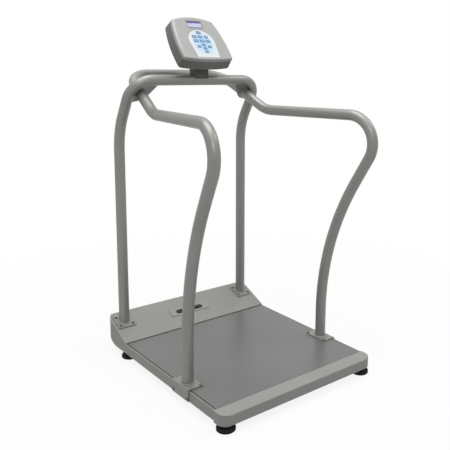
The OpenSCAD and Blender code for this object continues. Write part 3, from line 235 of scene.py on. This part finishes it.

# %% [markdown]
# ## Bare metals
# Studs, axles, nuts and the pin are zinc plated: a bright metal with a faint yellowish haze and a
# broken gloss. The flange screws are a dull steel whose dark colour is painted shade, the shade that
# lies round their heads. The load cells are milled aluminium, and their screws have a black oxide. A
# stretched noise stands for the marks that turning and milling leave, 0.3 mm apart.

# %% Plated and milled metal
def machined(name, chip, rough, marks):
    made, tree = blank(name)
    spot = add(tree, "TexCoord").outputs["Object"]
    along = add(tree, "Mapping", {"Vector": spot, "Scale": marks})
    lines = add(tree, "TexNoise", {"Vector": along.outputs["Vector"], "Scale": 1 / (0.3 * MM), "Detail": 2.0})
    gloss = add(tree, "MapRange", {"Value": lines.outputs["Fac"], "To Min": rough - 0.08,
                                   "To Max": rough + 0.1})
    cut = add(tree, "Bump", {"Strength": 0.1, "Distance": 0.05 * MM, "Height": lines.outputs["Fac"]})
    close(tree, add(tree, "BsdfPrincipled", {"Base Color": linear(chip), "Metallic": 1.0,
                                             "Roughness": gloss.outputs["Result"]}), cut)
    return made


zinc = machined("zinc_plated_steel", "94948f", 0.42, (1, 1, 0.15))
milled = machined("milled_aluminium", "bfc0be", 0.35, (0.1, 1, 1))
oxide = machined("black_oxide_steel", "4a4a48", 0.45, (1, 1, 0.15))
# Painted shade: the flange screws' steel is drawn dark for the shade round their heads.
shade_darkened_steel = machined("shade_darkened_screw_steel", "565653", 0.36, (1, 1, 0.15))

# %% [markdown]
# ## The display
# Behind a clear acrylic window lies a liquid crystal panel. Its lit middle is pale, and a dark blue
# bar runs along its top and its bottom. The bars are drawn with the height up the face, which is the
# dot product of the place with the face's upward direction.

# %% Face frame, window and panel
TILT = math.radians(40.5)
FACE_ORIGIN = Vector((0, 142.0, 1093.5)) * MM
FACE_UP = Vector((0, math.sin(TILT), math.cos(TILT)))
FACE_OUT = Vector((0, -math.cos(TILT), math.sin(TILT)))
face_place = Matrix((Vector((1, 0, 0)), FACE_UP, FACE_OUT)).transposed().to_4x4()
face_place.translation = FACE_ORIGIN


def up_the_face(tree):
    spot = add(tree, "TexCoord").outputs["Object"]
    height = add(tree, "VectorMath", {0: spot, 1: FACE_UP}, operation="DOT_PRODUCT")
    start = FACE_ORIGIN.dot(FACE_UP)
    return add(tree, "Math", {0: height.outputs["Value"], 1: start}, operation="SUBTRACT").outputs["Value"]


panel_lcd, tree = blank("lit_liquid_crystal_panel")
PANEL_FOOT, PANEL_TOP = 150 * MM, 182 * MM
scale = add(tree, "MapRange", {"Value": up_the_face(tree), "From Min": PANEL_FOOT, "From Max": PANEL_TOP})
bars = add(tree, "ValToRGB", {"Fac": scale.outputs["Result"]})
ramp = bars.color_ramp
ramp.interpolation = "CONSTANT"
ramp.elements[0].color = linear("2c2c8c")
ramp.elements[1].position = 0.74
ramp.elements[1].color = linear("2412a0")
pale = ramp.elements.new(0.14)
pale.color = linear("dad8f0")
close(tree, add(tree, "BsdfPrincipled", {"Base Color": bars.outputs["Color"], "Roughness": 0.3}))

window_acrylic, tree = blank("clear_acrylic_window")
close(tree, add(tree, "BsdfPrincipled", {"Base Color": linear("f4f8fb"), "Roughness": 0.06, "IOR": 1.49,
                                         "Specular IOR Level": 0.25,
                                         "Transmission Weight": 1.0}))

# %% [markdown]
# ## The keypad
# The overlay is a printed polyester film with a satin face. It is light blue round the keys and turns
# white towards its edge. Each key is printed in one colour over a low dome, with a paler middle.

# %% Film and key prints
overlay_film, tree = blank("printed_polyester_film")
spot = add(tree, "TexCoord").outputs["Object"]
KEYS_MIDDLE = 78 * MM
KEYS_SQUASH = 0.8
height = add(tree, "Math", {0: up_the_face(tree), 1: KEYS_MIDDLE}, operation="SUBTRACT")
height = add(tree, "Math", {0: height.outputs["Value"], 1: KEYS_SQUASH}, operation="MULTIPLY")
sideways = add(tree, "SeparateXYZ", {"Vector": spot})
flat_spot = add(tree, "CombineXYZ", {"X": sideways.outputs["X"], "Y": height.outputs["Value"]})
reach = add(tree, "VectorMath", {0: flat_spot.outputs["Vector"]}, operation="LENGTH")
edge = add(tree, "MapRange", {"Value": reach.outputs["Value"], "From Min": 22 * MM, "From Max": 50 * MM})
tint = add(tree, "ValToRGB", {"Fac": edge.outputs["Result"]})
tint.color_ramp.elements[0].color = linear("acd4f0")
tint.color_ramp.elements[1].color = linear("dfe4e7")
weave = add(tree, "TexNoise", {"Vector": spot, "Scale": 1 / (0.4 * MM)})
satin = add(tree, "Bump", {"Strength": 0.05, "Distance": 0.05 * MM, "Height": weave.outputs["Fac"]})
close(tree, add(tree, "BsdfPrincipled", {"Base Color": tint.outputs["Color"], "Roughness": 0.5}), satin)

key_blue = moulded("blue_printed_film", "243f68", 0.4, 0.38)
key_green = moulded("green_printed_film", "2f6a70", 0.4, 0.38)
key_violet = moulded("violet_printed_film", "40437c", 0.4, 0.38)
key_pale = moulded("pale_blue_print", "86a8cc", 0.4, 0.38)

# %% [markdown]
# ## Dress the solids
# Each solid keeps its mesh and gets the finish of the real piece.

# %% Give every solid its finish
finishes = {
    tube_coat: ["side_rail_left", "side_rail_right", "rear_hoop", "corner_gussets"],
    flange_coat: ["front_flanges", "rear_flanges"],
    panel_coat: ["side_skirt_left", "side_skirt_right", "rear_cover"],
    mount_coat: ["display_saddle", "display_neck"],
    frame_coat: ["base_frame", "post_supports", "wheel_brackets", "deck_plate"],
    mat_vinyl: ["deck_mat"],
    cap_abs: ["front_cap"],
    slot_abs: ["slot_plate"],
    shell_abs: ["head_shell", "battery_door"],
    bezel_abs: ["head_bezel"],
    box_abs: ["junction_box"],
    pack_abs: ["battery_pack"],
    board_resist: ["junction_board", "main_board"],
    switch_film: ["switch_sheet"],
    sheath_pvc: ["signal_cables"],
    foot_rubber: [n for n in nodes if n.startswith("foot_pad")],
    tread_rubber: ["transport_wheel_left", "transport_wheel_right"],
    # painted shade: the flange screws get the darkened steel
    shade_darkened_steel: ["flange_screws"],
    zinc: ["foot_nuts", "wheel_axles", "swivel_pin", "neck_screws", "head_screws"]
          + [n for n in nodes if n.startswith("foot_stud")],
    milled: ["load_cells"],
    oxide: ["cell_screws"],
    window_acrylic: ["lcd_lens"],
    panel_lcd: ["lcd_module"],
    overlay_film: ["key_overlay"],
    key_green: ["key_3"],
    key_violet: ["key_4"],
    key_blue: ["key_%d" % k for k in (1, 2, 5, 6, 7, 8, 9, 10, 11, 12)],
}
for finish, names in finishes.items():
    for name in names:
        mesh = nodes[name].data
        mesh.materials.clear()
        mesh.materials.append(finish)
bare = sorted(set(nodes) - {n for names in finishes.values() for n in names})
print("solids without a finish:", bare)

# %% [markdown]
# ## Making a piece
# A piece is built with bmesh operators where it belongs, so that its object can stay at the origin.

# %% From bmesh to a riding piece
def piece(name, bm, finish, body):
    bmesh.ops.recalc_face_normals(bm, faces=bm.faces)
    mesh = bpy.data.meshes.new(name)
    bm.to_mesh(mesh)
    bm.free()
    mesh.materials.append(finish)
    for polygon in mesh.polygons:
        polygon.use_smooth = True
    made = bpy.data.objects.new(name, mesh)
    bpy.context.scene.collection.objects.link(made)
    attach(made, body)
    return made


# %% [markdown]
# ## Weld beads
# Each post is welded all round to its flange. A bead is a small ring that leans against the tube.
# Spinning a circle gives the ring, and a ripple on its vertices gives the scales that the welder's
# hand leaves, about 3 mm apart. On the sloping cover the ring is sheared to lie along the slope.

# %% Rings of weld
TUBE_R = 19.05 * MM
BEAD_R = 2.2 * MM
FRONT_POST = (292, -156, 67.9)
REAR_POST = (271.5, 332)
COVER_FOOT_Y, COVER_FOOT_Z = 234.5, 65.5
COVER_SLOPE = math.radians(23.5)
FLANGE_T = 4
BEAD_LIFT = 0.6


def weld_ring(bm, place, bead):
    circle = bmesh.ops.create_circle(bm, cap_ends=False, segments=8, radius=bead)["verts"]
    bmesh.ops.rotate(bm, verts=circle, cent=(0, 0, 0), matrix=Matrix.Rotation(math.pi / 2, 3, "X"))
    bmesh.ops.translate(bm, verts=circle, vec=(TUBE_R + bead * 0.3, 0, 0))
    edges = list({e for v in circle for e in v.link_edges})
    before = set(bm.verts) - set(circle)
    bmesh.ops.spin(bm, geom=circle + edges, cent=(0, 0, 0), axis=(0, 0, 1), angle=2 * math.pi,
                   steps=120, use_merge=True)
    ring = [v for v in bm.verts if v not in before]
    for v in ring:
        turn = math.atan2(v.co.y, v.co.x)
        swell = 1 + 0.12 * math.sin(40 * turn) + 0.06 * math.sin(23 * turn + 1)
        reach = math.hypot(v.co.x, v.co.y)
        core = TUBE_R + bead * 0.3
        grown = core + (reach - core) * swell
        v.co.x *= grown / reach
        v.co.y *= grown / reach
        v.co.z *= swell
    bmesh.ops.transform(bm, matrix=place, verts=ring)


bm = bmesh.new()
x, y, z = FRONT_POST
for side in (-1, 1):
    weld_ring(bm, Matrix.Translation(Vector((side * x, y, z)) * MM), BEAD_R)
x, y = REAR_POST
rise = math.tan(COVER_SLOPE)
z = COVER_FOOT_Z + (y - COVER_FOOT_Y) * rise + FLANGE_T / math.cos(COVER_SLOPE) + BEAD_LIFT
lean = Matrix.Identity(4)
lean[2][1] = rise
for side in (-1, 1):
    weld_ring(bm, Matrix.Translation(Vector((side * x, y, z)) * MM) @ lean, BEAD_R)
post_welds = piece("post_welds", bm, tube_coat, "base")
print("post welds:", len(post_welds.data.polygons), "faces")

# %% [markdown]
# ## Keys
# A key of a membrane keypad is a soft pillow. A cube is scaled to the key's size, its upright edges are
# bevelled to the key's corner radius, its upper rim is rounded, and the top face is inset and lifted.

# %% Key pillows
KEY_CORNER = 2.5 * MM
KEY_RIM = 0.35 * MM
PRINT_EDGE = 2.0 * MM
DOME = 0.25 * MM


def key_pillow(name, finish, round_key=False):
    mesh = nodes[name].data
    local = [face_place.inverted() @ v.co for v in mesh.vertices]
    x0, x1 = min(p.x for p in local), max(p.x for p in local)
    y0, y1 = min(p.y for p in local), max(p.y for p in local)
    z0, z1 = min(p.z for p in local), max(p.z for p in local)
    bm = bmesh.new()
    bmesh.ops.create_cube(bm, size=1.0)
    bmesh.ops.scale(bm, verts=bm.verts, vec=(x1 - x0, y1 - y0, z1 - z0))
    bmesh.ops.translate(bm, verts=bm.verts, vec=((x0 + x1) / 2, (y0 + y1) / 2, (z0 + z1) / 2))
    upright = [e for e in bm.edges if abs((e.verts[0].co - e.verts[1].co).z) > 0.5 * (z1 - z0)]
    corner = (x1 - x0) * 0.499 if round_key else KEY_CORNER
    bmesh.ops.bevel(bm, geom=upright, offset=corner, offset_type="OFFSET",
                    segments=12 if round_key else 6, affect="EDGES", profile=0.5, material=-1)
    bmesh.ops.remove_doubles(bm, verts=bm.verts, dist=0.001 * MM)
    top = [f for f in bm.faces if f.normal.z > 0.9]
    rim = [e for e in bm.edges if any(f in top for f in e.link_faces)]
    bmesh.ops.bevel(bm, geom=rim, offset=KEY_RIM, offset_type="OFFSET", segments=3,
                    affect="EDGES", profile=0.5, material=-1)
    top = [f for f in bm.faces if f.normal.z > 0.999 and f.calc_area() > 1e-5]
    bmesh.ops.inset_region(bm, faces=top, thickness=PRINT_EDGE, depth=DOME)
    for f in top:
        f.material_index = 1
    bmesh.ops.transform(bm, matrix=face_place, verts=bm.verts)
    made = piece(name + "_pillow", bm, finish, name)
    made.data.materials.append(key_pale)
    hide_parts(name)
    return made


for k in range(1, 13):
    name = "key_%d" % k
    if k == 3:
        key_pillow(name, key_green)
    elif k == 4:
        key_pillow(name, key_violet, round_key=True)
    else:
        key_pillow(name, key_blue)
print("keys: 12 pillows")

# %% [markdown]
# ## The studio
# The floor is a pale disc. It shows as almost white, keeps the soft shadows near the feet and fades
# into the white background with the distance. The camera, glass and gloss see a white background,
# and the sky that lights the object is dimmer, more so at the horizon. Three large soft lamps light
# it mostly from above, and they give the tubes their long highlights.

# %% What sees the white background
def sees_white(tree):
    rays = add(tree, "LightPath")
    seen = add(tree, "Math", {0: rays.outputs["Is Camera Ray"], 1: rays.outputs["Is Transmission Ray"]},
               operation="MAXIMUM")
    seen = add(tree, "Math", {0: seen.outputs["Value"], 1: rays.outputs["Is Glossy Ray"]},
               operation="MAXIMUM")
    return rays, seen.outputs["Value"]



# %% Floor
bm = bmesh.new()
bmesh.ops.create_circle(bm, cap_ends=True, segments=96, radius=14)
mesh = bpy.data.meshes.new("floor")
bm.to_mesh(mesh)
bm.free()
floor = bpy.data.objects.new("floor", mesh)
bpy.context.scene.collection.objects.link(floor)
floor_paint, tree = blank("pale_studio_floor")
rays, seen = sees_white(tree)
spot = add(tree, "TexCoord").outputs["Object"]
distance = add(tree, "VectorMath", {0: spot}, operation="LENGTH")
fade = add(tree, "MapRange", {"Value": distance.outputs["Value"], "From Min": 0.5, "From Max": 2.2,
                              "To Min": 0.88, "To Max": 1.0}, interpolation_type="SMOOTHSTEP")
tone = add(tree, "Mix", {0: rays.outputs["Is Camera Ray"], 6: linear("b4b4b2"), 7: linear("f0f0f0")},
           data_type="RGBA")
matt = add(tree, "BsdfDiffuse", {"Color": tone.outputs[2]})
glow = add(tree, "Emission", {"Color": (1, 1, 1, 1), "Strength": 1.0})
share = add(tree, "Math", {0: seen, 1: fade.outputs["Result"]}, operation="MULTIPLY")
mixed = add(tree, "MixShader", {0: share.outputs["Value"], 1: matt.outputs["BSDF"],
                                2: glow.outputs["Emission"]})
add(tree, "OutputMaterial", {"Surface": mixed.outputs["Shader"]})
mesh.materials.append(floor_paint)

# %% World and lamps
world = bpy.data.worlds.new("studio")
world.use_nodes = True
bpy.context.scene.world = world
tree = world.node_tree
tree.nodes.clear()
seen = sees_white(tree)[1]
way = add(tree, "SeparateXYZ", {"Vector": add(tree, "TexCoord").outputs["Generated"]})
sky = add(tree, "MapRange", {"Value": way.outputs["Z"], "From Min": 0.0, "From Max": 0.85,
                             "To Min": 0.08, "To Max": 0.32})
side = add(tree, "MapRange", {"Value": way.outputs["X"], "From Min": -1.0, "From Max": 1.0,
                              "To Min": 1.15, "To Max": 0.75})
sky = add(tree, "Math", {0: sky.outputs["Result"], 1: side.outputs["Result"]}, operation="MULTIPLY")
strength = add(tree, "Mix", {0: seen, 2: sky.outputs["Value"], 3: 1.0})
white = add(tree, "Background", {"Color": (1, 1, 1, 1), "Strength": strength.outputs[0]})
add(tree, "OutputWorld", {"Surface": white.outputs["Background"]})


LAMP_AIM = Vector((0, 0, 0.5))


def soft_lamp(name, place, size, power):
    light = bpy.data.lights.new(name, "AREA")
    light.shape = "DISK"
    light.size = size
    light.energy = power
    lamp = bpy.data.objects.new(name, light)
    lamp.location = place
    lamp.rotation_euler = (LAMP_AIM - Vector(place)).to_track_quat("-Z", "Y").to_euler()
    bpy.context.scene.collection.objects.link(lamp)
    return lamp


soft_lamp("lamp_left", (-2.4, -4.2, 4.2), 1.8, 62)
soft_lamp("lamp_top", (-0.5, 0.2, 5.6), 4.4, 215)
soft_lamp("lamp_right", (3.6, -1.8, 4.6), 1.8, 45)
